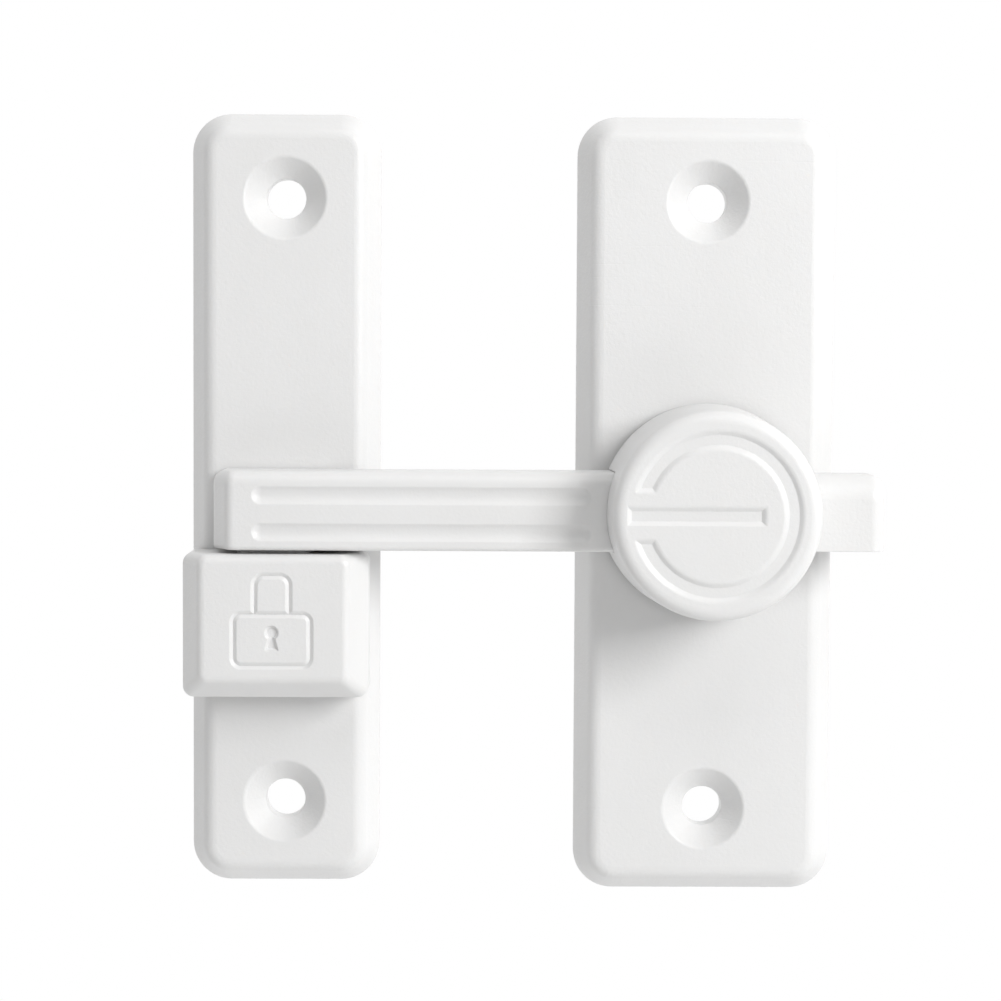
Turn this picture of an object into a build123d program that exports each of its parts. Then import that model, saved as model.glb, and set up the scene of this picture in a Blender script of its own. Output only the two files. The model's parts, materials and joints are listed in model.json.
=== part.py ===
from build123d import *
import os
from math import radians, tan

# Flip latch for a stair gate or a sliding door, in two screw-on halves.
# The latch half carries a bar that swings on a knob; the keeper half carries a fixed rail
# that the end of the bar drops over, and a sprung lock slider under it.
#
# Frame: the origin is the pivot axis on the mounting plane, +X runs from the keeper towards
# the latch, +Z is up and the mounting plane is y = 0. Every part stands out towards -Y, so
# heights are measured from the mounting plane and h in front of it is y = -h.

# ---------------------------------------------------------------- driving dimensions, mm
# base plates
plate_h = 5.0            # thickness of both plates
plate_edge = 1.2         # upright edge next to the wall
plate_taper = 30         # slope of the flanks, degrees
plate_corner = 5.0
plate_round = 2.0        # fillet between the flanks and the face
face_t = 2.0             # thickness of the face over the hollow back
flank_t = 1.8            # wall beside the hollow back
rib_t = 1.2
hollow_corner = 2.0
latch_ribs = 5           # cross ribs behind the latch plate
latch_rib_pitch = 13.5
latch_w = 33.2
latch_len = 100.0
latch_z = 0.25           # middle of the latch plate above the pivot
keeper_w = 24.2
keeper_len = 99.2
keeper_x = -54.0
keeper_z = 0.75

# mounting screws, 5 mm countersunk
latch_pitch = 78.0
keeper_pitch = 77.4
screw_r = 2.55
sink_r = 5.25
sink_angle = 100
sink_round = 0.6
screw_boss_r = 6.6

# pivot
spigot_r = 4.0
spigot_top = 13.9
running = 0.05           # radial clearance of the bush on the spigot
bush_r = 5.6
bush_flange_r = 7.9
bush_flange_t = 0.8
bush_seat = 12.2
glide_r = 10.6
glide_t = 0.4
glide_play = 0.2         # clearance of the washer round the spigot
pivot_boss_r = 8.5
pivot_thread_r = 1.5
pivot_screw_len = 10.0   # in the spigot
pivot_head_r = 3.0
pivot_head_t = 1.9
pivot_pitch = 0.8
thread_slack = 0.3       # pilot hole below the end of the pivot screw
washer_r = 7.4
washer_t = 1.0
washer_edge = 0.15
spring_in = 4.3
spring_out = 7.3
disc_t = 0.35

# latch bar
bar_w = 9.95
tab_w = 9.6
bar_front = 14.0
bar_back = 6.4
tip_x = -62.6
tail_x = 21.8
bar_skin = 2.0           # front wall over the cored back
drum_r = 10.8
drum_top = 16.0
recess_r = 8.1           # recess in the drum for the disc spring
snap_low = 14.3          # snap groove round the drum
snap_high = 15.1
snap_depth = 0.35
snap_play = 0.1          # clearance of the cap's bead in the groove
flute_w = 2.2            # two flutes along the front of the bar
flute_zs = (1.94, -2.68)
flute_depth = 0.45
flute_edge = 0.25
flute_start = -57.5
flute_end = -15.2
tip_slope_x = 2.0        # sloped face at the end of the bar
tip_slope_h = 3.4
tip_round = 1.4
arm_top_round = 1.6
arm_low_round = 0.6
tail_round = 1.8
tab_top_round = 3.0

# pocket in the bar's end, open behind and below
pocket_left = -60.15
pocket_right = -49.3
pocket_top = 3.4
pocket_wall = 1.8
foot_h = 5.4             # back of the pocket's walls, close over the keeper plate

core_wall = 1.8          # walls beside the cored back
core_arm = (-46.5, -14.6)
core_tab = (14.6, 19.8)
core_ribs = 3
core_rib_pitch = 8.0

# knob cap
cap_r = 13.55            # at its foot
cap_foot = 5.9
cap_front = 22.0
cap_draft = 2.5
cap_round = 1.5
cap_wall_r = 10.95
cap_skin = 2.2
notch_play = 0.1         # clearance of the cap's notches round the arm and the tab
groove_r = 9.37          # C-shaped groove in the front
groove_w = 2.35
groove_depth = 0.36
groove_slope = 57        # slope of its walls, degrees
groove_gap = 5.75
mark_edge = 0.7          # soft edges of the groove and the slot
slot_w = 2.35
slot_depth = 0.36
slot_left = -11.1
slot_right = 5.9

# keeper rail, the block that the bar's pocket drops over
lock_x = -55.0
rail_w = 9.1
rail_front = 11.4
rail_top = 3.1
rail_bottom = -20.0
channel_w = 6.1
channel_top = 2.2
channel_floor = 5.6
rail_edge = 0.5
bridge_t = 1.0
bridge_low = -5.5
bridge_top = -2.9
keeper_ribs = (27, 14.5, 2.5, -18.5, -28.5)

# lock slider
travel = 7.0
block_left = -66.5
block_right = -43.1
block_top = -5.45
block_bottom = -23.8
block_front = 14.5
block_back = 3.0
block_slope = 30         # sloped faces at its left, right and bottom, degrees
block_slope_h = 4.2
block_corner = 1.4
block_round = 1.2
block_wall = 2.0
block_face = 2.4         # thickness of its front
gap = 0.3                # clearance of the slider over the face of the plate
side_gap = 0.4           # the same beside its flanks
notch_gap = 0.15         # clearance of the notch beside the rail
tongue_w = 5.7
tongue_top = 1.6
tongue_front = 9.3
tongue_back = 6.0
web_t = 1.1              # two webs that join the tongue to the block
stem_w = 5.0             # stem through the keeper plate
stem_len = 5.0
stem_top = -2.2
stem_end = 2.8
stem_gap = 0.15
retainer_t = 1.2
retainer_len = 7.2
retainer_thread_r = 1.0
retainer_screw_len = 5.4
retainer_pilot = 4.6

# snap leaf, spring steel
leaf_w = 3.0
leaf_t = 0.4
leaf_h = 9.5
leaf_foot = -19.4
leaf_nose = 12.6
leaf_seat_top = -14.8
leaf_screw_z = -17.2
leaf_thread_r = 1.1
leaf_screw_len = 5.4
leaf_pilot_end = 4.2
leaf_knee = -2.0         # where the leaf starts to rise to its nose
leaf_lead = 1.6          # how far its end drops behind the nose
leaf_end = 2.0
leaf_bend = 0.45         # radius of its bends
leaf_play = 0.1          # clearance of its hole round the screw
nose_recess = 0.9        # recess for the nose in the bar's front wall
nose_play = 0.4
nose_half = 1.3
small_head_r = 2.0       # heads of the leaf screw and the retainer screw
small_head_t = 1.3
small_pitch = 0.6

# return springs
spring_x = 6.8           # each side of the rail's centre line
spring_h = 8.2
spring_r = 1.45          # to the middle of the wire
wire_r = 0.22
spring_top = -7.65
spring_bottom = -19.4
spring_turns = 9
lug_half = 1.5           # lugs under the springs
lug_t = 1.55
lug_over = 1.8
pin_r = 0.9
pin_len = 2.4

# padlock emblem, engraved as a V-shaped line
emblem_line = 0.9
emblem_depth = 0.3
emblem_w = 9.6
emblem_low = -19.4
emblem_mid = -12.95
shackle_w = 4.35
shackle_top = -8.1
keyhole_r = 0.9
keyhole_z = -15.25
keyhole_low = -17.5
keyhole_depth = 0.45
keyhole_slope = 35
emblem_round = 1.0
shackle_round = 1.2

core_ratio = 0.78        # root of a screw's thread over its outside
eps = 0.02               # gap between pieces that bear on each other
hub_back = plate_h + glide_t + eps


def front(h):
    """The plane h in front of the wall: x to the right, y up, normal towards the user."""
    return Plane.XZ.offset(h)


def plate_sketch(width, length, corner, centre=(0, 0)):
    """Rounded rectangle on the mounting plane."""
    with BuildSketch(front(0)) as outline:
        with Locations(centre):
            RectangleRounded(width, length, corner)
    return outline.sketch


def plate_body(width, length, centre):
    """Solid plate with an upright edge, sloping flanks and a rounded face."""
    outline = plate_sketch(width, length, plate_corner, centre)
    extrude(outline, amount=plate_edge)
    raised = outline.moved(Location((0, -plate_edge, 0)))
    extrude(raised, amount=plate_h - plate_edge, taper=plate_taper)


def hollow_size(size):
    """Width or length of the hollow behind a plate of the given outside size."""
    hollow_h = plate_h - face_t
    return size - 2 * ((hollow_h - plate_edge) * tan(radians(plate_taper)) + flank_t)


def rod(x, z, r, low, high, mode=Mode.ADD):
    """Round bar along Y between two heights."""
    with BuildSketch(front(low)) as disc:
        with Locations((x, z)):
            Circle(r)
    extrude(disc.sketch, amount=high - low, mode=mode)


def block(x_range, z_range, h_range, mode=Mode.ADD):
    """Rectangular block between two corners."""
    with BuildSketch(front(h_range[0])) as rect:
        with Locations(((x_range[0] + x_range[1]) / 2, (z_range[0] + z_range[1]) / 2)):
            Rectangle(x_range[1] - x_range[0], z_range[1] - z_range[0])
    extrude(rect.sketch, amount=h_range[1] - h_range[0], mode=mode)


def edges_along(part, axis, x=None, h=None, z=None):
    """Straight edges along an axis whose middle is at the given coordinates."""
    def here(edge):
        middle = edge @ 0.5
        wanted = ((x, middle.X), (h, -middle.Y), (z, middle.Z))
        return all(value is None or abs(value - found) < 0.01 for value, found in wanted)
    return part.edges().filter_by(axis).filter_by(here)


def soften_sinks(builder):
    """Round the rims of the countersinks."""
    rims = builder.edges().filter_by(GeomType.CIRCLE)
    fillet(rims.filter_by(lambda e: abs(e.radius - sink_r) < 0.01), sink_round)


def pan_screw(seat, towards_wall, head_r, head_t, thread_r, length, pitch):
    """Pan head screw with a cross recess, from the centre of the seat under its head.

    The thread is drawn as rings; towards_wall is 1 for a screw driven into the wall's side
    and -1 for one driven from behind.
    """
    side = Plane(origin=seat, x_dir=(1, 0, 0), z_dir=(0, 0, towards_wall))
    core_r = thread_r * core_ratio
    rings = int((length - thread_r) / pitch)
    thread = []
    for ring in range(rings):
        thread.append((core_r, ring * pitch))
        thread.append((thread_r, (ring + 0.5) * pitch))
    thread.append((core_r, rings * pitch))
    with BuildSketch(side) as profile:
        with BuildLine():
            Polyline((0, -head_t), (head_r, -head_t), (head_r, 0), *thread, (0, length), close=True)
        make_face()
    revolve(profile.sketch, axis=Axis(seat, (0, 1, 0)))
    top = faces().sort_by(Axis.Y)[0 if towards_wall > 0 else -1]
    crown = top.center()
    fillet(top.edges(), head_t / 2)
    with BuildSketch(Plane(origin=crown, x_dir=(1, 0, 0), z_dir=(0, -towards_wall, 0))) as cross:
        Rectangle(head_r * 1.1, head_r / 4)
        Rectangle(head_r / 4, head_r * 1.1)
    extrude(cross.sketch, amount=-head_t / 2, mode=Mode.SUBTRACT)


def engrave(path):
    """Cut a V-shaped line along a path that lies in the block's front face."""
    half = emblem_line / 2
    with BuildSketch(Plane(origin=path @ 0, x_dir=(0, 1, 0), z_dir=path % 0)) as cutter:
        Polygon((-emblem_depth, 0), (0, -half), (emblem_depth, 0), (0, half))
    sweep(cutter.sketch, path=path, mode=Mode.SUBTRACT)


def save(builder, name):
    builder.part.label = name
    export_step(builder.part, f"parts/{name}.step")


os.makedirs("parts", exist_ok=True)

# ---------------------------------------------------------------- latch half
with BuildPart() as latch_base:
    plate_body(latch_w, latch_len, (0, latch_z))
    fillet(latch_base.faces().sort_by(Axis.Y)[0].edges(), plate_round)
    with BuildSketch(front(0)) as latch_hollow:
        with Locations((0, latch_z)):
            RectangleRounded(hollow_size(latch_w), hollow_size(latch_len), hollow_corner)
            Rectangle(rib_t, latch_len, mode=Mode.SUBTRACT)
            with GridLocations(0, latch_rib_pitch, 1, latch_ribs):
                Rectangle(latch_w, rib_t, mode=Mode.SUBTRACT)
            with GridLocations(0, latch_pitch, 1, 2):
                Circle(screw_boss_r, mode=Mode.SUBTRACT)
        Circle(pivot_boss_r, mode=Mode.SUBTRACT)
    extrude(latch_hollow.sketch, amount=plate_h - face_t, mode=Mode.SUBTRACT)
    rod(0, 0, spigot_r, plate_h, spigot_top)
    rod(0, 0, pivot_thread_r, spigot_top - pivot_screw_len, spigot_top, Mode.SUBTRACT)
    with Locations(front(plate_h)):
        with Locations((0, latch_z)):
            with GridLocations(0, latch_pitch, 1, 2):
                CounterSinkHole(screw_r, sink_r, counter_sink_angle=sink_angle)
    soften_sinks(latch_base)
save(latch_base, "latch_base")

with BuildPart() as glide_washer:
    rod(0, 0, glide_r, plate_h, plate_h + glide_t)
    rod(0, 0, spigot_r + glide_play, plate_h, plate_h + glide_t, Mode.SUBTRACT)
save(glide_washer, "glide_washer")

with BuildPart() as pivot_bush:
    rod(0, 0, bush_r, hub_back, bush_seat)
    rod(0, 0, bush_flange_r, bush_seat, bush_seat + bush_flange_t)
    rod(0, 0, spigot_r + running, hub_back, bush_seat + bush_flange_t, Mode.SUBTRACT)
save(pivot_bush, "pivot_bush")

with BuildPart() as disc_spring:
    low = bush_seat + bush_flange_t + eps
    high = spigot_top - eps
    with BuildSketch(Plane.XY) as cone:
        with BuildLine():
            Polyline(
                (spring_in, -high),
                (spring_in, -high + disc_t),
                (spring_out, -low),
                (spring_out, -low - disc_t),
                close=True,
            )
        make_face()
    revolve(cone.sketch, axis=Axis.Y)
save(disc_spring, "disc_spring")

with BuildPart() as pivot_washer:
    rod(0, 0, washer_r, spigot_top, spigot_top + washer_t)
    chamfer(pivot_washer.edges().filter_by(GeomType.CIRCLE), washer_edge)
    rod(0, 0, pivot_thread_r + washer_edge, spigot_top, spigot_top + washer_t, Mode.SUBTRACT)
save(pivot_washer, "pivot_washer")

with BuildPart() as pivot_screw:
    pan_screw(
        seat=(0, -spigot_top - washer_t, 0),
        towards_wall=1,
        head_r=pivot_head_r,
        head_t=pivot_head_t,
        thread_r=pivot_thread_r,
        length=pivot_screw_len + washer_t - thread_slack,
        pitch=pivot_pitch,
    )
save(pivot_screw, "pivot_screw")

with BuildPart() as latch_bar:
    # arm with a sloped end and the deep foot of its pocket
    foot_end = pocket_right + pocket_wall
    with BuildSketch(Plane.XY.offset(-bar_w / 2)) as arm_side:
        with BuildLine():
            Polyline(
                (0, -bar_back),
                (foot_end, -bar_back),
                (foot_end, -foot_h),
                (tip_x, -foot_h),
                (tip_x, tip_slope_h - bar_front),
                (tip_x + tip_slope_x, -bar_front),
                (0, -bar_front),
                close=True,
            )
        make_face()
        bends = arm_side.vertices().filter_by(lambda v: v.X < foot_end - 1 and v.Y < -foot_h - 1)
        fillet(bends, tip_round)
    extrude(arm_side.sketch, amount=bar_w)
    for z, r in ((bar_w / 2, arm_top_round), (-bar_w / 2, arm_low_round)):
        rim = latch_bar.edges().filter_by(lambda e: abs((e @ 0).Z - z) < 0.01 and abs((e @ 1).Z - z) < 0.01)
        rim = rim.filter_by(lambda e: (e @ 0.5).X < -0.01 and (e @ 0.5).Y < -bar_back - 0.01)
        fillet(rim.filter_by(lambda e: abs((e @ 0.5).X - foot_end) > 0.01), r)
    # thumb tab at the other end, its top sloped for a finger
    with BuildSketch(Plane.YZ) as tab_section:
        with Locations((-(bar_back + bar_front) / 2, 0)):
            Rectangle(bar_front - bar_back, tab_w)
        fillet(tab_section.vertices().group_by(Axis.Y)[-1].sort_by(Axis.X)[0], tab_top_round)
    extrude(tab_section.sketch, amount=tail_x)
    tab_end = latch_bar.faces().sort_by(Axis.X)[-1].edges()
    tab_end = tab_end.filter_by(lambda e: (e @ 0.5).Z > 0.01 - tab_w / 2)
    fillet(tab_end.filter_by(lambda e: (e @ 0.5).Y < -bar_back - 0.01), tail_round)
    # hub under the knob
    rod(0, 0, drum_r, hub_back, drum_top)
    rod(0, 0, drum_r, snap_low, snap_high, Mode.SUBTRACT)
    rod(0, 0, drum_r - snap_depth, snap_low, snap_high)
    # bore for the bush and recess for the disc spring
    rod(0, 0, bush_r, hub_back, bush_seat, Mode.SUBTRACT)
    rod(0, 0, recess_r, bush_seat, drum_top, Mode.SUBTRACT)
    # pocket that drops over the keeper's rail, with a recess for the nose of the leaf
    block(
        (pocket_left, pocket_right),
        (-bar_w / 2, pocket_top),
        (foot_h, bar_front - bar_skin),
        Mode.SUBTRACT,
    )
    nose_side = leaf_w / 2 + nose_play
    block(
        (lock_x - nose_side, lock_x + nose_side),
        (-nose_half, nose_half),
        (foot_h, bar_front - bar_skin + nose_recess),
        Mode.SUBTRACT,
    )
    # cored back of the arm and of the tab
    with BuildSketch(front(bar_back)) as core:
        for start, end in (core_arm, core_tab):
            with Locations(((start + end) / 2, 0)):
                Rectangle(end - start, bar_w - 2 * core_wall)
        with Locations(((core_arm[0] + core_arm[1]) / 2, 0)):
            with GridLocations(core_rib_pitch, 0, core_ribs, 1):
                Rectangle(rib_t, bar_w, mode=Mode.SUBTRACT)
    extrude(core.sketch, amount=bar_front - bar_skin - bar_back, mode=Mode.SUBTRACT)
    # two flutes along the front, with round ends
    flute_r = ((flute_w / 2) ** 2 + flute_depth**2) / (2 * flute_depth)
    flute_y = -bar_front + flute_depth - flute_r
    flute_len = flute_end - flute_start - flute_w
    for z in flute_zs:
        with Locations(((flute_start + flute_end) / 2, flute_y, z)):
            Cylinder(flute_r, flute_len, rotation=(0, 90, 0), mode=Mode.SUBTRACT)
        for x in (flute_start + flute_w / 2, flute_end - flute_w / 2):
            with Locations((x, flute_y, z)):
                Sphere(flute_r, mode=Mode.SUBTRACT)
    lips = latch_bar.edges().filter_by(lambda e: abs((e @ 0.5).Y + bar_front) < 0.001)
    lips = lips.filter_by(lambda e: min(abs((e @ 0.5).Z - z) for z in flute_zs) < flute_w / 2 + 0.01)
    fillet(lips.filter_by(lambda e: flute_start - 0.01 < (e @ 0.5).X < flute_end + 0.01), flute_edge)
save(latch_bar, "latch_bar")

with BuildPart() as knob_cap:
    with BuildSketch(front(cap_foot)) as cap_outline:
        Circle(cap_r)
    extrude(cap_outline.sketch, amount=cap_front - cap_foot, taper=cap_draft)
    fillet(knob_cap.faces().sort_by(Axis.Y)[0].edges(), cap_round)
    rod(0, 0, cap_wall_r, cap_foot, cap_front - cap_skin, Mode.SUBTRACT)
    # bead that snaps into the drum's groove
    rod(0, 0, cap_wall_r + eps, snap_low + snap_play, snap_high - snap_play)
    rod(0, 0, drum_r - snap_depth + snap_play, snap_low, snap_high, Mode.SUBTRACT)
    # notches over the arm and the tab
    notch_top = bar_front + notch_play
    for reach, width in ((-2 * cap_r, bar_w), (2 * cap_r, tab_w)):
        notch = width / 2 + notch_play
        block(sorted((0, reach)), (-notch, notch), (0, notch_top), Mode.SUBTRACT)
    # C-shaped groove and pointer slot in the front, with sloped walls
    with BuildSketch(front(cap_front)) as ring:
        Circle(groove_r + groove_w / 2)
        Circle(groove_r - groove_w / 2, mode=Mode.SUBTRACT)
        with Locations((-groove_r, 0)):
            Rectangle(3 * groove_w, groove_gap, mode=Mode.SUBTRACT)
    extrude(ring.sketch, amount=-groove_depth, taper=groove_slope, mode=Mode.SUBTRACT)
    with BuildSketch(front(cap_front)) as slot:
        with Locations(((slot_left + slot_right) / 2, 0)):
            Rectangle(slot_right - slot_left, slot_w)
    extrude(slot.sketch, amount=-slot_depth, taper=groove_slope, mode=Mode.SUBTRACT)
    rims = knob_cap.edges().filter_by(lambda e: abs((e @ 0.5).Y + cap_front) < 0.01)
    marks_r = max(groove_r + groove_w / 2, -slot_left) + eps
    fillet(rims.filter_by(lambda e: Vector((e @ 0).X, (e @ 0).Z).length < marks_r), mark_edge)
save(knob_cap, "knob_cap")

# ---------------------------------------------------------------- keeper half
with BuildPart() as keeper_base:
    plate_body(keeper_w, keeper_len, (keeper_x, keeper_z))
    fillet(keeper_base.faces().sort_by(Axis.Y)[0].edges(), plate_round)
    with BuildSketch(front(0)) as keeper_hollow:
        with Locations((keeper_x, keeper_z)):
            RectangleRounded(hollow_size(keeper_w), hollow_size(keeper_len), hollow_corner)
            with GridLocations(0, keeper_pitch, 1, 2):
                Circle(screw_boss_r, mode=Mode.SUBTRACT)
        for z in keeper_ribs:
            with Locations((keeper_x, z)):
                Rectangle(keeper_w, rib_t, mode=Mode.SUBTRACT)
    extrude(keeper_hollow.sketch, amount=plate_h - face_t, mode=Mode.SUBTRACT)
    with Locations(front(plate_h)):
        with Locations((keeper_x, keeper_z)):
            with GridLocations(0, keeper_pitch, 1, 2):
                CounterSinkHole(screw_r, sink_r, counter_sink_angle=sink_angle)
    soften_sinks(keeper_base)
    # rail with a channel down its front
    block((lock_x - rail_w / 2, lock_x + rail_w / 2), (rail_bottom, rail_top), (plate_h, rail_front))
    chamfer(keeper_base.edges().group_by(Axis.Y)[0], rail_edge)
    block(
        (lock_x - channel_w / 2, lock_x + channel_w / 2),
        (rail_bottom, channel_top),
        (channel_floor, rail_front),
        Mode.SUBTRACT,
    )
    # bridge over the channel, which stops the slider's webs at the top
    block(
        (lock_x - channel_w / 2, lock_x + channel_w / 2),
        (bridge_low, bridge_top),
        (rail_front - bridge_t, rail_front),
    )
    # seat of the leaf
    block(
        (lock_x - channel_w / 2, lock_x + channel_w / 2),
        (rail_bottom, leaf_seat_top),
        (channel_floor, leaf_h),
    )
    rod(lock_x, leaf_screw_z, leaf_thread_r, leaf_pilot_end, leaf_h, Mode.SUBTRACT)
    # slot for the slider's stem
    block(
        (lock_x - stem_w / 2 - stem_gap, lock_x + stem_w / 2 + stem_gap),
        (stem_top - stem_len - travel - stem_gap, stem_top + stem_gap),
        (0, channel_floor),
        Mode.SUBTRACT,
    )
    # lugs and pins for the return springs
    lug_top = spring_bottom - running
    for x in (lock_x - spring_x, lock_x + spring_x):
        block((x - lug_half, x + lug_half), (lug_top - lug_t, lug_top), (face_t, spring_h + lug_over))
        with Locations((x, -spring_h, lug_top)):
            Cylinder(pin_r, pin_len, align=(Align.CENTER, Align.CENTER, Align.MIN))
save(keeper_base, "keeper_base")

with BuildPart() as snap_leaf:
    nose_h = leaf_nose - leaf_t / 2
    mid_h = leaf_h + leaf_t / 2
    with BuildSketch(Plane.YZ.offset(lock_x - leaf_w / 2)) as leaf_side:
        with BuildLine() as leaf_line:
            FilletPolyline(
                (-mid_h, leaf_foot),
                (-mid_h, leaf_knee),
                (-nose_h, 0),
                (-nose_h + leaf_lead, nose_half),
                (-nose_h + leaf_lead, leaf_end),
                radius=leaf_bend,
            )
        trace(line_width=leaf_t)
    extrude(leaf_side.sketch, amount=leaf_w)
    rod(lock_x, leaf_screw_z, leaf_thread_r + leaf_play, leaf_h, leaf_h + leaf_t, Mode.SUBTRACT)
save(snap_leaf, "snap_leaf")

with BuildPart() as leaf_screw:
    pan_screw(
        seat=(lock_x, -leaf_h - leaf_t, leaf_screw_z),
        towards_wall=1,
        head_r=small_head_r,
        head_t=small_head_t,
        thread_r=leaf_thread_r,
        length=leaf_screw_len,
        pitch=small_pitch,
    )
save(leaf_screw, "leaf_screw")

with BuildPart() as lock_slider:
    # block with sloped faces at its sides and bottom and a flat top under the bar
    shoulder = block_front - block_slope_h
    above = block_top + block_slope_h * tan(radians(block_slope))
    sides = (block_left, block_right)
    block(sides, (block_bottom, above), (block_back, shoulder))
    shoulder_face = lock_slider.faces().sort_by(Axis.Y)[0]
    extrude(shoulder_face, amount=block_slope_h, dir=(0, -1, 0), taper=block_slope)
    block(sides, (block_top, above), (block_back, block_front), Mode.SUBTRACT)
    fillet(lock_slider.edges().filter_by(lambda e: abs((e @ 0).Y - (e @ 1).Y) > 1), block_corner)
    fillet(lock_slider.faces().sort_by(Axis.Y)[0].edges(), block_round)
    # padlock emblem: body, shackle and keyhole
    with BuildLine(front(block_front), mode=Mode.PRIVATE) as emblem_body:
        FilletPolyline(
            (lock_x - emblem_w / 2, emblem_low),
            (lock_x + emblem_w / 2, emblem_low),
            (lock_x + emblem_w / 2, emblem_mid),
            (lock_x - emblem_w / 2, emblem_mid),
            radius=emblem_round,
            close=True,
        )
    engrave(emblem_body.wires()[0])
    with BuildLine(front(block_front), mode=Mode.PRIVATE) as shackle:
        FilletPolyline(
            (lock_x - shackle_w / 2, emblem_mid),
            (lock_x - shackle_w / 2, shackle_top),
            (lock_x + shackle_w / 2, shackle_top),
            (lock_x + shackle_w / 2, emblem_mid),
            radius=shackle_round,
        )
    engrave(shackle.wires()[0])
    with BuildSketch(front(block_front)) as keyhole:
        with Locations((lock_x, keyhole_z)):
            Circle(keyhole_r)
        with BuildLine():
            Polyline(
                (lock_x - keyhole_r / 3, keyhole_z),
                (lock_x - keyhole_r, keyhole_low),
                (lock_x + keyhole_r, keyhole_low),
                (lock_x + keyhole_r / 3, keyhole_z),
                close=True,
            )
        make_face()
    extrude(keyhole.sketch, amount=-keyhole_depth, taper=keyhole_slope, mode=Mode.SUBTRACT)
    # saddle over the plate
    with BuildSketch(front(plate_edge)) as saddle:
        with Locations((keeper_x, keeper_z)):
            Rectangle(keeper_w + 2 * side_gap, 2 * keeper_len)
    extrude(saddle.sketch, amount=plate_h + gap - plate_edge, taper=plate_taper, mode=Mode.SUBTRACT)
    # hollow inside, and the notch over the rail
    block(
        (block_left + block_wall, block_right - block_wall),
        (block_bottom + block_wall, block_top - block_wall),
        (block_back, block_front - block_face),
        Mode.SUBTRACT,
    )
    block(
        (lock_x - rail_w / 2 - notch_gap, lock_x + rail_w / 2 + notch_gap),
        (block_top - block_wall, block_top),
        (block_back, rail_front + notch_gap),
        Mode.SUBTRACT,
    )
    # tongue in the channel, held by two webs, and the stem through the plate
    tongue_low = block_top - block_wall
    tongue_side = tongue_w / 2
    block(
        (lock_x - tongue_side, lock_x + tongue_side),
        (tongue_low, tongue_top),
        (tongue_back, tongue_front),
    )
    for x in (lock_x - tongue_side, lock_x + tongue_side - web_t):
        block((x, x + web_t), (tongue_low, block_top - stem_gap), (tongue_front, block_front - block_face))
    block(
        (lock_x - stem_w / 2, lock_x + stem_w / 2),
        (stem_top - stem_len, stem_top),
        (stem_end, tongue_back),
    )
    pilot_end = stem_end + retainer_pilot
    rod(lock_x, stem_top - stem_len / 2, retainer_thread_r, stem_end, pilot_end, Mode.SUBTRACT)
save(lock_slider, "lock_slider")

with BuildPart() as slider_retainer:
    with BuildSketch(front(stem_end - retainer_t)) as retainer_outline:
        with Locations((lock_x, stem_top - stem_len / 2)):
            RectangleRounded(rail_w, retainer_len, 1)
            Circle(retainer_thread_r + stem_gap, mode=Mode.SUBTRACT)
    extrude(retainer_outline.sketch, amount=retainer_t)
save(slider_retainer, "slider_retainer")

with BuildPart() as retainer_screw:
    pan_screw(
        seat=(lock_x, retainer_t - stem_end, stem_top - stem_len / 2),
        towards_wall=-1,
        head_r=small_head_r,
        head_t=small_head_t,
        thread_r=retainer_thread_r,
        length=retainer_screw_len,
        pitch=small_pitch,
    )
save(retainer_screw, "retainer_screw")

with BuildPart() as return_springs:
    coil_len = spring_top - spring_bottom - 2 * wire_r
    for x in (lock_x - spring_x, lock_x + spring_x):
        foot = (x, -spring_h, spring_bottom + wire_r)
        coil = Helix(coil_len / spring_turns, coil_len, spring_r, center=foot)
        with BuildSketch(Plane(origin=coil @ 0, z_dir=coil % 0)) as wire:
            Circle(wire_r)
        sweep(wire.sketch, path=coil, is_frenet=True)
save(return_springs, "return_springs")
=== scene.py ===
import json
import math

import bmesh
import bpy
from mathutils import Matrix, Vector


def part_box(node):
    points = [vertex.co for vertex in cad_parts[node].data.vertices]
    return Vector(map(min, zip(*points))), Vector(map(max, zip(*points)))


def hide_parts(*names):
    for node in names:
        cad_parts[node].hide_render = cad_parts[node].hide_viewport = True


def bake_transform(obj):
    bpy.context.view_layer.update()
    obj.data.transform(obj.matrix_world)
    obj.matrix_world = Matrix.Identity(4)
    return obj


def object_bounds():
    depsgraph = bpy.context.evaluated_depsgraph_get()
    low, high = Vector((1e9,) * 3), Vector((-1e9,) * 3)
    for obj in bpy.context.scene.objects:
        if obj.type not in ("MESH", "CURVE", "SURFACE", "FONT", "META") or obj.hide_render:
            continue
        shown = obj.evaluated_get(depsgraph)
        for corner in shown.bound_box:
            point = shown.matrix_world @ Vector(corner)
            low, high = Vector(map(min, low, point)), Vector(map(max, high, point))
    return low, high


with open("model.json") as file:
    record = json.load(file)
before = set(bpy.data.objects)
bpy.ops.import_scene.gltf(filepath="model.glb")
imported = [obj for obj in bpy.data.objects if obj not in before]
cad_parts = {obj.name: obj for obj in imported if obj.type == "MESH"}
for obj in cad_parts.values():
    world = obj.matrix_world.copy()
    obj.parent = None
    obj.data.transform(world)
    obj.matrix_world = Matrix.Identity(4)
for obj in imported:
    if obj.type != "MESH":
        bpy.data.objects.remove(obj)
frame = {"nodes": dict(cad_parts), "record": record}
nodes = frame["nodes"]
cad_low, cad_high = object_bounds()
MM = 0.001

# ------------------------------------------------------------------ camera
CAMERA_AT = Vector((-30.48, -336.64, 18.40)) * MM
LOOK_RIGHT = 0.71        # degrees, from straight at the plates
LOOK_DOWN = 3.01
ROLL = 0.31
LENS = 93.1              # mm, on a 36 mm sensor
NEAR_CLIP = 0.01
FAR_CLIP = 50


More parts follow.
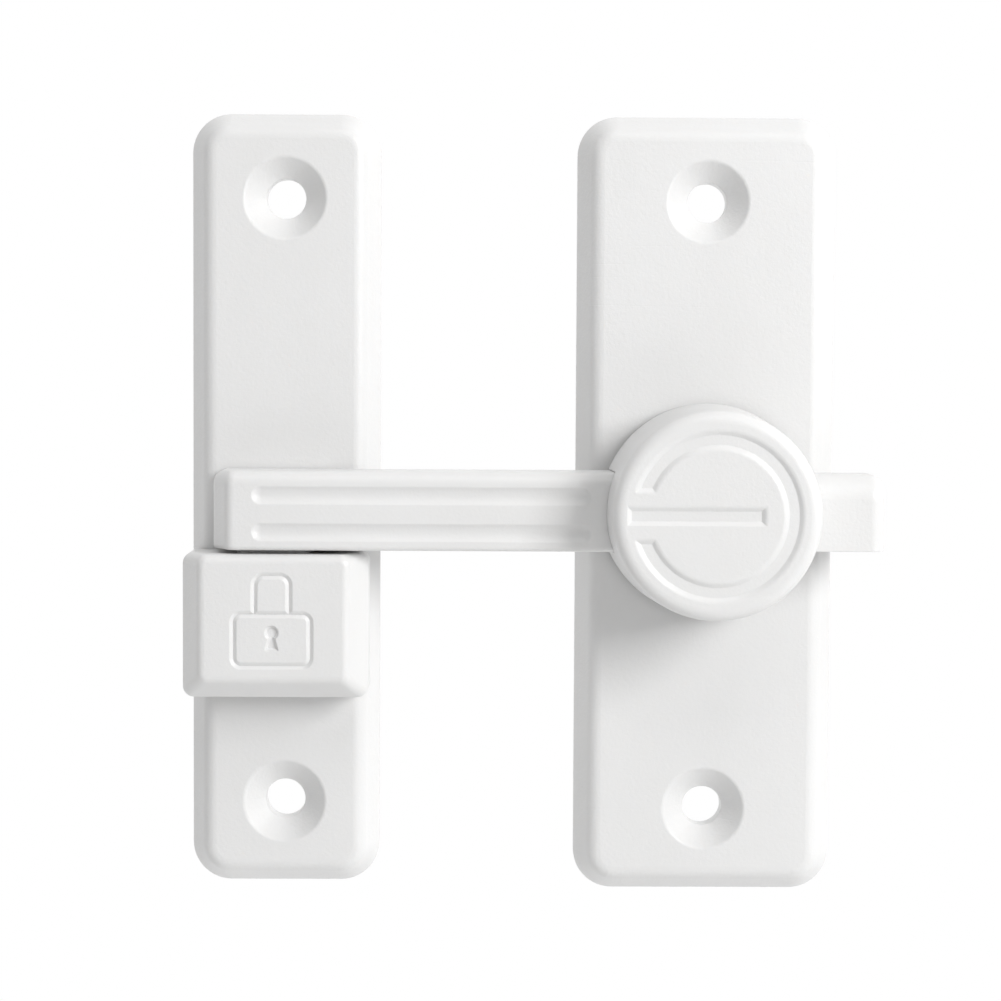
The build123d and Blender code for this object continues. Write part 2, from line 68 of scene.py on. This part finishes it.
def add_camera():
    """Camera before the gap between the plates, a little above the knob, looking slightly down."""
    data = bpy.data.cameras.new("camera")
    data.sensor_width = 36
    data.lens = LENS
    data.clip_start = NEAR_CLIP
    data.clip_end = FAR_CLIP
    camera = bpy.data.objects.new("camera", data)
    turn = Matrix.Rotation(math.radians(-LOOK_RIGHT), 4, "Z")
    tip = Matrix.Rotation(math.radians(90 - LOOK_DOWN), 4, "X")
    lean = Matrix.Rotation(math.radians(ROLL), 4, "Z")
    camera.matrix_world = Matrix.Translation(CAMERA_AT) @ turn @ tip @ lean
    bpy.context.scene.collection.objects.link(camera)
    bpy.context.scene.camera = camera


# ------------------------------------------------------------------ materials
BEVEL_SAMPLES = 6
EDGE_FROM = 0.999        # cosine between true and rounded normal where wear starts
EDGE_TO = 0.90           # and where it is full


class Graph:
    """A material's node tree, with short calls for the nodes used here."""

    def __init__(self, name):
        self.material = bpy.data.materials.new(name)
        self.material.use_nodes = True
        self.tree = self.material.node_tree
        self.shader = self.tree.nodes["Principled BSDF"]
        self.place = self.node("ShaderNodeTexCoord").outputs["Object"]

    def node(self, kind, **settings):
        made = self.tree.nodes.new(kind)
        for key, value in settings.items():
            setattr(made, key, value)
        return made

    def link(self, source, target):
        self.tree.links.new(source, target)

    def noise(self, scale, detail, stretch=(1, 1, 1), shift=(0, 0, 0)):
        mapping = self.node("ShaderNodeMapping")
        mapping.inputs["Location"].default_value = shift
        mapping.inputs["Scale"].default_value = stretch
        self.link(self.place, mapping.inputs["Vector"])
        noise = self.node("ShaderNodeTexNoise")
        noise.inputs["Scale"].default_value = scale
        noise.inputs["Detail"].default_value = detail
        self.link(mapping.outputs["Vector"], noise.inputs["Vector"])
        return noise.outputs["Fac"]

    def remap(self, value, low, high, to_low=0.0, to_high=1.0):
        made = self.node("ShaderNodeMapRange")
        made.inputs["From Min"].default_value = low
        made.inputs["From Max"].default_value = high
        made.inputs["To Min"].default_value = to_low
        made.inputs["To Max"].default_value = to_high
        self.link(value, made.inputs["Value"])
        return made.outputs["Result"]

    def calculate(self, operation, a, b):
        made = self.node("ShaderNodeMath", operation=operation)
        for socket, value in zip(made.inputs, (a, b)):
            if isinstance(value, (int, float)):
                socket.default_value = value
            else:
                self.link(value, socket)
        return made.outputs["Value"]

    def mix(self, factor, a, b):
        made = self.node("ShaderNodeMix", data_type="RGBA")
        self.link(factor, made.inputs["Factor"])
        colours = [socket for socket in made.inputs if socket.type == "RGBA"]
        for socket, value in zip(colours, (a, b)):
            if isinstance(value, tuple):
                socket.default_value = value
            else:
                self.link(value, socket)
        return next(socket for socket in made.outputs if socket.type == "RGBA")

    def bump(self, height, distance, normal):
        made = self.node("ShaderNodeBump")
        made.inputs["Distance"].default_value = distance
        self.link(height, made.inputs["Height"])
        self.link(normal, made.inputs["Normal"])
        return made.outputs["Normal"]

    def soft_edges(self, radius):
        made = self.node("ShaderNodeBevel", samples=BEVEL_SAMPLES)
        made.inputs["Radius"].default_value = radius
        return made.outputs["Normal"]

    def edge_mask(self, rounded):
        """Near 1 where the rounded normal leaves the true one, which is along sharp edges."""
        true = self.node("ShaderNodeNewGeometry").outputs["Normal"]
        dot = self.node("ShaderNodeVectorMath", operation="DOT_PRODUCT")
        self.link(true, dot.inputs[0])
        self.link(rounded, dot.inputs[1])
        return self.remap(dot.outputs["Value"], EDGE_FROM, EDGE_TO)


# Noise scales are in features per metre of the object.
FLOW_SCALE = 45          # broad tone marks left by the melt
WAVE_SCALE = 28          # slight unevenness of wide faces
SMUDGE_SCALE = 130       # patches touched more or less often
SCRATCH_SCALE = 260
GRAIN_SCALE = 2300       # eroded texture of the mould
FINE_SCALE = 5200        # its finer part, and dust specks
CLOUD_SCALE = 380        # milky unevenness of natural plastics
TURNING_SCALE = 3000
PLATING_SCALE = 520      # dull spots in the zinc
STREAK_SCALE = 900       # marks of rolling and drawing

# How much each noise is stretched along x, y and z.
FLOW_STRETCH = (1, 1, 0.45)
SCRATCH_STRETCH = (0.18, 1, 9)
STREAK_STRETCH = (1, 1, 0.06)

# Bands of a noise's value that a remap spreads from 0 to 1.
BROAD = (0.3, 0.7)       # most of the surface
SMUDGED = (0.3, 0.75)
SCRATCHED = (0.70, 0.78)
SPECKED = (0.78, 0.84)
SPOTTED = (0.58, 0.74)
STREAKED = (0.4, 0.62)
DULL_SPOTS = (0.6, 0.75)

WAVE_DEPTH = 0.05 * MM
GRAIN_DEPTH = 0.03 * MM
SCRATCH_DEPTH = 0.006 * MM
TURNING_DEPTH = 0.006 * MM
STREAK_DEPTH = 0.004 * MM

MOULDED_EDGE = 0.16 * MM  # radius of edges too small to draw
TURNED_EDGE = 0.1 * MM
PLATED_EDGE = 0.05 * MM

WHITE = 0.72             # linear value of the white plastic
ABS_IOR = 1.5


def shade(value, warmth=0.0):
    """A grey of the given linear value, a little warm or cool."""
    return (value * (1 + warmth), value, value * (1 - 2 * warmth), 1)


def seed_shift(seed):
    """Where a material's noise starts, so that no two materials repeat each other."""
    return (seed * 0.37, seed * 0.61, seed * 0.23)


def milky(shader, weight, reach):
    """Light that enters the plastic and leaves it a little further on."""
    shader.inputs["Subsurface Weight"].default_value = weight
    shader.inputs["Subsurface Radius"].default_value = (1.0, 0.9, 0.8)
    shader.inputs["Subsurface Scale"].default_value = reach


def moulded_plastic(name, value, roughness, seed):
    """White injection-moulded plastic: eroded grain, flow marks, smudges, scuffs and worn edges."""
    g = Graph(name)
    shift = seed_shift(seed)
    rounded = g.soft_edges(MOULDED_EDGE)
    worn = g.edge_mask(rounded)

    # tone: flow marks, then dust specks, then lighter edges
    flow = g.noise(FLOW_SCALE, 3, stretch=FLOW_STRETCH, shift=shift)
    speck = g.noise(FINE_SCALE, 1, shift=shift)
    dark = shade(value * 0.98, warmth=0.004)
    light = shade(value * 1.02, warmth=0.002)
    dust = shade(value * 0.8, warmth=0.01)
    rubbed = shade(value * 1.04)
    tone = g.mix(g.remap(flow, *BROAD), dark, light)
    tone = g.mix(g.remap(speck, *SPECKED, to_high=0.4), tone, dust)
    tone = g.mix(g.calculate("MULTIPLY", worn, 0.35), tone, rubbed)
    g.link(tone, g.shader.inputs["Base Color"])

    # gloss: duller where it is smudged, glossier along edges and in scratches
    smudge = g.noise(SMUDGE_SCALE, 4, shift=shift)
    scratch = g.noise(SCRATCH_SCALE, 2, stretch=SCRATCH_STRETCH, shift=shift)
    scratch = g.remap(scratch, *SCRATCHED)
    rough = g.remap(smudge, *SMUDGED, roughness - 0.06, roughness + 0.09)
    rough = g.calculate("ADD", rough, g.calculate("MULTIPLY", worn, -0.05))
    rough = g.calculate("ADD", rough, g.calculate("MULTIPLY", scratch, -0.08))
    g.link(rough, g.shader.inputs["Roughness"])

    # relief: slight waves, scratches, and the texture of the mould in two sizes
    normal = g.bump(g.noise(WAVE_SCALE, 1, shift=shift), WAVE_DEPTH, rounded)
    normal = g.bump(scratch, -SCRATCH_DEPTH, normal)
    normal = g.bump(g.noise(GRAIN_SCALE, 3, shift=shift), GRAIN_DEPTH, normal)
    normal = g.bump(g.noise(FINE_SCALE, 2, shift=shift), GRAIN_DEPTH / 3, normal)
    g.link(normal, g.shader.inputs["Normal"])

    g.shader.inputs["IOR"].default_value = ABS_IOR
    milky(g.shader, weight=0.12, reach=0.8 * MM)
    return g.material


def natural_plastic(name, colour, roughness, seed):
    """Unpainted acetal or nylon: milky, smooth, with faint turning marks."""
    g = Graph(name)
    shift = seed_shift(seed)
    cloud = g.noise(CLOUD_SCALE, 3, shift=shift)
    darker = tuple(c * 0.93 for c in colour[:3]) + (1,)
    tone = g.mix(g.remap(cloud, *BROAD), darker, colour)
    g.link(tone, g.shader.inputs["Base Color"])
    rough = g.remap(cloud, *BROAD, roughness - 0.05, roughness + 0.08)
    g.link(rough, g.shader.inputs["Roughness"])
    turning = g.noise(TURNING_SCALE, 2, shift=shift)
    normal = g.bump(turning, TURNING_DEPTH, g.soft_edges(TURNED_EDGE))
    g.link(normal, g.shader.inputs["Normal"])
    milky(g.shader, weight=0.3, reach=1.2 * MM)
    return g.material


def plated_steel(name, value, roughness, seed, tint):
    """Bright or oiled steel: rolled streaks and dull spots."""
    g = Graph(name)
    shift = seed_shift(seed)
    streak = g.noise(STREAK_SCALE, 3, stretch=STREAK_STRETCH, shift=shift)
    spot = g.noise(PLATING_SCALE, 4, shift=shift)
    bright = tuple(value * t for t in tint) + (1,)
    dull = tuple(value * 0.66 * t for t in tint) + (1,)
    tone = g.mix(g.remap(spot, *SPOTTED, to_high=0.7), bright, dull)
    tone = g.mix(g.remap(streak, *STREAKED, to_high=0.25), tone, dull)
    g.link(tone, g.shader.inputs["Base Color"])
    rough = g.remap(streak, *BROAD, roughness - 0.08, roughness + 0.1)
    rough = g.calculate("ADD", rough, g.remap(spot, *DULL_SPOTS, to_high=0.2))
    g.link(rough, g.shader.inputs["Roughness"])
    normal = g.bump(streak, STREAK_DEPTH, g.soft_edges(PLATED_EDGE))
    g.link(normal, g.shader.inputs["Normal"])
    g.shader.inputs["Metallic"].default_value = 1.0
    return g.material


def add_materials():
    """One material for each slot of the record; the white ones differ in where their noise starts."""
    acetal = (0.78, 0.76, 0.70, 1)
    nylon = (0.70, 0.67, 0.58, 1)
    zinc_tint = (1.0, 1.01, 1.04)
    dark_tint = (1.0, 1.0, 1.03)
    return {
        "white_abs": moulded_plastic("white_abs_plates", WHITE, 0.42, 1),
        "white_abs_bar": moulded_plastic("white_abs_of_bar", WHITE, 0.38, 2),
        "white_abs_knob": moulded_plastic("white_abs_of_knob", WHITE, 0.38, 3),
        "white_abs_slider": moulded_plastic("white_abs_of_slider", WHITE, 0.40, 4),
        "acetal": natural_plastic("natural_acetal", acetal, 0.38, 5),
        "nylon": natural_plastic("natural_nylon", nylon, 0.42, 6),
        "zinc_steel": plated_steel("zinc_plated_steel", 0.68, 0.30, 7, zinc_tint),
        "spring_steel": plated_steel("oiled_spring_steel", 0.42, 0.36, 8, dark_tint),
    }


def dress(materials):
    """Give every CAD node the material of its slot."""
    for part in frame["record"]["subparts"]:
        node = nodes[part["node"]]
        node.data.materials.clear()
        node.data.materials.append(materials[part["material_slot"]])


# ------------------------------------------------------------------ return springs
COIL_TURNS = 9
COIL_STEPS = 20
WIRE_SIDES = 8
WIRE_R = 0.22 * MM
CLOSED_ENDS = 0.1        # how far the end turns close up, 0 none and 1 fully


def coil_mesh(mesh, centre_x, centre_y, low, high, radius):
    """Compression spring along Z, its pitch a little smaller towards both ends."""
    count = COIL_TURNS * COIL_STEPS
    full_turn = 2 * math.pi
    rings = []
    for step in range(count + 1):
        t = step / count
        rise = t - CLOSED_ENDS * math.sin(full_turn * t) / full_turn
        z = low + WIRE_R + (high - low - 2 * WIRE_R) * rise
        angle = full_turn * COIL_TURNS * t
        out = Vector((math.cos(angle), math.sin(angle), 0))
        middle = Vector((centre_x, centre_y, z)) + out * radius
        ring = []
        for side in range(WIRE_SIDES):
            turn = full_turn * side / WIRE_SIDES
            offset = out * math.cos(turn) + Vector((0, 0, math.sin(turn)))
            ring.append(mesh.verts.new(middle + offset * WIRE_R))
        rings.append(ring)
    for first, second in zip(rings, rings[1:]):
        for side in range(WIRE_SIDES):
            after = (side + 1) % WIRE_SIDES
            mesh.faces.new((first[side], first[after], second[after], second[side]))
    mesh.faces.new(reversed(rings[0]))
    mesh.faces.new(rings[-1])


def add_springs(material):
    """Two real coils in place of the plain springs of the CAD."""
    low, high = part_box("return_springs")
    radius = (high.y - low.y) / 2 - WIRE_R
    middle_y = (low.y + high.y) / 2
    whole = bmesh.new()
    for x in (low.x + radius + WIRE_R, high.x - radius - WIRE_R):
        coil_mesh(whole, x, middle_y, low.z, high.z, radius)
    bmesh.ops.recalc_face_normals(whole, faces=whole.faces)
    data = bpy.data.meshes.new("return_coils")
    whole.to_mesh(data)
    whole.free()
    data.shade_smooth()
    data.materials.append(material)
    coils = bpy.data.objects.new("return_coils", data)
    bpy.context.scene.collection.objects.link(coils)
    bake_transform(coils)
    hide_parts("return_springs")


# ------------------------------------------------------------------ backdrop and light
BOARD_HALF = 0.8         # metres, as are the next four
BOARD_TOP = 0.9
FLOOR_Z = -0.30
FLOOR_HALF = 3.0
LIGHT_AWAY = 0.7         # from the middle of the latch
BOARD_GAP = 0.05 * MM    # between the plates' backs and the board
BOARD_GLOW = 1.0
WORLD_LIGHT = 0.405
FLOOR_SCALE = 6
FLOOR_ROUGHNESS = 0.85


def flat_sheet(name, corners, material):
    """One flat face of the backdrop."""
    mesh = bmesh.new()
    mesh.faces.new([mesh.verts.new(corner) for corner in corners])
    data = bpy.data.meshes.new(name)
    mesh.to_mesh(data)
    mesh.free()
    data.materials.append(material)
    sheet = bpy.data.objects.new(name, data)
    bpy.context.scene.collection.objects.link(sheet)


def light_board_material():
    """Evenly lit white panel; clear from behind."""
    g = Graph("light_board")
    glow = g.node("ShaderNodeEmission")
    glow.inputs["Strength"].default_value = BOARD_GLOW
    clear = g.node("ShaderNodeBsdfTransparent").outputs["BSDF"]
    behind = g.node("ShaderNodeNewGeometry").outputs["Backfacing"]
    choose = g.node("ShaderNodeMixShader")
    g.link(behind, choose.inputs[0])
    g.link(glow.outputs["Emission"], choose.inputs[1])
    g.link(clear, choose.inputs[2])
    g.link(choose.outputs[0], g.tree.nodes["Material Output"].inputs["Surface"])
    return g.material


def pale_floor_material():
    """Matt off-white with a faint broad mottle."""
    g = Graph("pale_floor")
    mottle = g.remap(g.noise(FLOOR_SCALE, 3), *BROAD)
    g.link(g.mix(mottle, shade(0.86), shade(0.90)), g.shader.inputs["Base Color"])
    g.shader.inputs["Roughness"].default_value = FLOOR_ROUGHNESS
    return g.material


def add_backdrop():
    """A lit panel that the latch is screwed to, and a pale floor some way below."""
    wall = [
        (-BOARD_HALF, BOARD_GAP, FLOOR_Z),
        (BOARD_HALF, BOARD_GAP, FLOOR_Z),
        (BOARD_HALF, BOARD_GAP, BOARD_TOP),
        (-BOARD_HALF, BOARD_GAP, BOARD_TOP),
    ]
    flat_sheet("light_board", wall, light_board_material())
    floor = [
        (-FLOOR_HALF, -FLOOR_HALF, FLOOR_Z),
        (FLOOR_HALF, -FLOOR_HALF, FLOOR_Z),
        (FLOOR_HALF, FLOOR_HALF, FLOOR_Z),
        (-FLOOR_HALF, FLOOR_HALF, FLOOR_Z),
    ]
    flat_sheet("floor", floor, pale_floor_material())


def add_light(name, direction, size, power):
    """Square soft box that looks at the middle of the latch from a direction."""
    data = bpy.data.lights.new(name, "AREA")
    data.size = size
    data.energy = power
    box = bpy.data.objects.new(name, data)
    aim = (cad_low + cad_high) / 2
    towards = Vector(direction).normalized()
    box.location = aim + towards * LIGHT_AWAY
    box.rotation_mode = "QUATERNION"
    box.rotation_quaternion = towards.to_track_quat("Z", "Y")
    bpy.context.scene.collection.objects.link(box)


def add_world():
    """Even white light from all round."""
    world = bpy.data.worlds.new("studio")
    world.use_nodes = True
    background = world.node_tree.nodes["Background"]
    background.inputs["Color"].default_value = (1, 1, 1, 1)
    background.inputs["Strength"].default_value = WORLD_LIGHT
    bpy.context.scene.world = world


add_camera()
materials = add_materials()
dress(materials)
add_springs(materials["spring_steel"])
add_backdrop()
add_light("key", direction=(1, -1, 0.5), size=0.30, power=3.72)
add_light("top", direction=(0, -1, 1.6), size=0.45, power=1.14)
add_world()
bpy.context.scene.view_settings.view_transform = "Standard"
